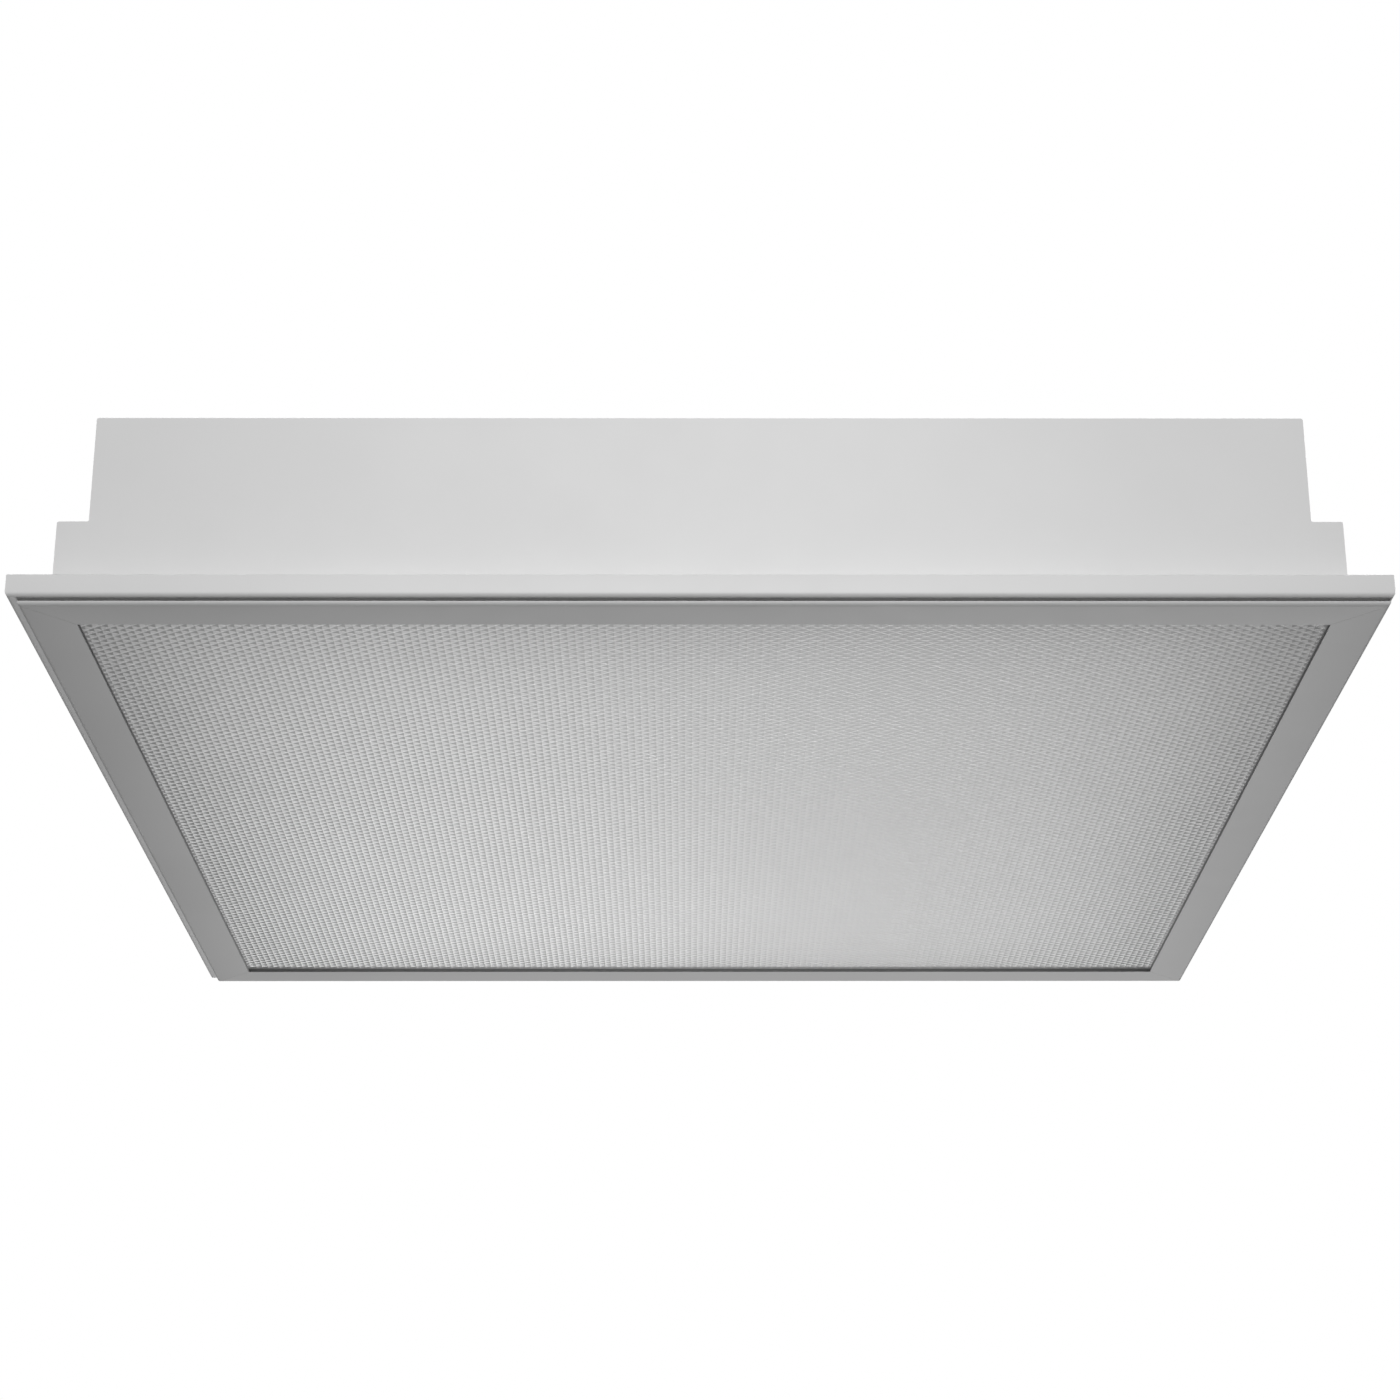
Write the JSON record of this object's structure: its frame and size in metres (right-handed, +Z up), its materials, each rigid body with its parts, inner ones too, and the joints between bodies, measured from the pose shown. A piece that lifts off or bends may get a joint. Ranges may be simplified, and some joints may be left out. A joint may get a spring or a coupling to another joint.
{
  "type": "recessed troffer light",
  "caption": "Square recessed ceiling light: stepped sheet housing, flat flange, hinged frame door with a prismatic panel over light boards.",
  "frame": {"origin": "middle of the flange's outline, on the plane of the closed door's lower face", "axes": "+Z up into the ceiling, -Y towards the viewer, +X towards the door's hinges"},
  "size_m": [0.595, 0.595, 0.0986],
  "materials": {
    "housing_paint": "smooth white powder coat",
    "door_paint": "smooth white powder coat",
    "reflector_paint": "matt white reflector paint",
    "prism_acrylic": "translucent white acrylic with pressed prisms",
    "foam_rubber": "soft black foam strip",
    "grommet_rubber": "moulded black rubber",
    "zinc_steel": "zinc plated sheet",
    "spring_steel": "plain spring strip",
    "bright_steel": "bright zinc plated",
    "magnet": "dark sintered ferrite",
    "light_board": "white solder resist",
    "led_resin": "yellow phosphor resin",
    "driver_metal": "folded sheet, satin",
    "driver_plastic": "moulded, fine grain",
    "terminal_plastic": "moulded, light grey",
    "button_live": "moulded, brown",
    "button_neutral": "moulded, blue",
    "button_earth": "moulded, green",
    "clamp_nylon": "natural nylon",
    "earth_brass": "plain brass",
    "lead_brown": "insulated lead, brown",
    "lead_blue": "insulated lead, blue",
    "lead_green": "insulated lead, green",
    "lead_red": "insulated lead, red",
    "lead_black": "insulated lead, black"
  },
  "bodies": {
    "housing": {"body_shell": "housing_paint", "end_plate_front": "housing_paint", "end_plate_rear": "housing_paint", "end_plate_rivets": "zinc_steel", "flange_gasket": "foam_rubber", "catch_magnets": "magnet", "magnet_brackets": "zinc_steel", "hinge_guides": "zinc_steel", "reflector_tray": "reflector_paint", "led_chips": "led_resin", "driver_case": "driver_metal", "driver_cap_mains": "driver_plastic", "driver_cap_output": "driver_plastic", "terminal_block": "terminal_plastic", "cord_clamp_base": "clamp_nylon", "cord_clamp_bar": "clamp_nylon", "cord_clamp_screws": "bright_steel", "earth_terminal": "earth_brass", "lead_live": "lead_brown", "lead_neutral": "lead_blue", "lead_earth": "lead_green", "lead_output_plus": "lead_red", "lead_output_minus": "lead_black", "board_connector": "terminal_plastic", "wiring_cover": "housing_paint", "cable_grommet": "grommet_rubber", "suspension_nuts": "zinc_steel", "pan_head_screws": "bright_steel", "clip_pivot_screws": "bright_steel", "flange_rail_front": "housing_paint", "flange_rail_right": "housing_paint", "flange_rail_rear": "housing_paint", "flange_rail_left": "housing_paint", "led_board_1": "light_board", "led_board_2": "light_board", "led_board_3": "light_board", "led_board_4": "light_board", "led_board_5": "light_board", "led_board_6": "light_board", "led_board_7": "light_board", "led_board_8": "light_board"},
    "hinge_links": {"hinge_link_front": "zinc_steel", "hinge_link_rear": "zinc_steel"},
    "door": {"door_rail_front": "door_paint", "door_rail_right": "door_paint", "door_rail_rear": "door_paint", "door_rail_left": "door_paint", "corner_cleats": "zinc_steel", "prismatic_panel": "prism_acrylic", "panel_clips": "spring_steel", "catch_keepers": "zinc_steel", "hinge_leaves": "zinc_steel", "hinge_pins": "bright_steel"},
    "clip_left_front": {"hold_down_clip_left_front": "spring_steel"},
    "clip_left_rear": {"hold_down_clip_left_rear": "spring_steel"},
    "clip_right_front": {"hold_down_clip_right_front": "spring_steel"},
    "clip_right_rear": {"hold_down_clip_right_rear": "spring_steel"},
    "button_live": {"terminal_button_live": "button_live"},
    "button_neutral": {"terminal_button_neutral": "button_neutral"},
    "button_earth": {"terminal_button_earth": "button_earth"}
  },
  "joints": [
    {"name": "door_drop", "type": "slide", "parent": "housing", "child": "hinge_links", "axis": [0, 0, -1], "range_m": [0, 0.0271]},
    {"name": "door_swing", "type": "hinge", "parent": "hinge_links", "child": "door", "pos_m": [0.27935, 0, 0.0092], "axis": [0, -1, 0], "range_deg": [0, 90]},
    {"name": "clip_swing_left_front", "type": "hinge", "parent": "housing", "child": "clip_left_front", "pos_m": [-0.27445, -0.12, 0.0452], "axis": [0, 0, -1], "range_deg": [0, 90]},
    {"name": "clip_swing_left_rear", "type": "hinge", "parent": "housing", "child": "clip_left_rear", "pos_m": [-0.27445, 0.12, 0.0452], "axis": [0, 0, 1], "range_deg": [0, 90]},
    {"name": "clip_swing_right_front", "type": "hinge", "parent": "housing", "child": "clip_right_front", "pos_m": [0.27445, -0.12, 0.0452], "axis": [0, 0, 1], "range_deg": [0, 90]},
    {"name": "clip_swing_right_rear", "type": "hinge", "parent": "housing", "child": "clip_right_rear", "pos_m": [0.27445, 0.12, 0.0452], "axis": [0, 0, -1], "range_deg": [0, 90]},
    {"name": "button_press_live", "type": "slide", "parent": "housing", "child": "button_live", "axis": [0, 0, -1], "range_m": [0, 0.0015], "stiffness_N_per_m": 200, "springref_m": -0.0005},
    {"name": "button_press_neutral", "type": "slide", "parent": "housing", "child": "button_neutral", "axis": [0, 0, -1], "range_m": [0, 0.0015], "stiffness_N_per_m": 200, "springref_m": -0.0005},
    {"name": "button_press_earth", "type": "slide", "parent": "housing", "child": "button_earth", "axis": [0, 0, -1], "range_m": [0, 0.0015], "stiffness_N_per_m": 200, "springref_m": -0.0005}
  ],
  "couplings": [
    {"joint": "door_drop", "follows": "door_swing", "m_per_rad": 0.0172}
  ]
}
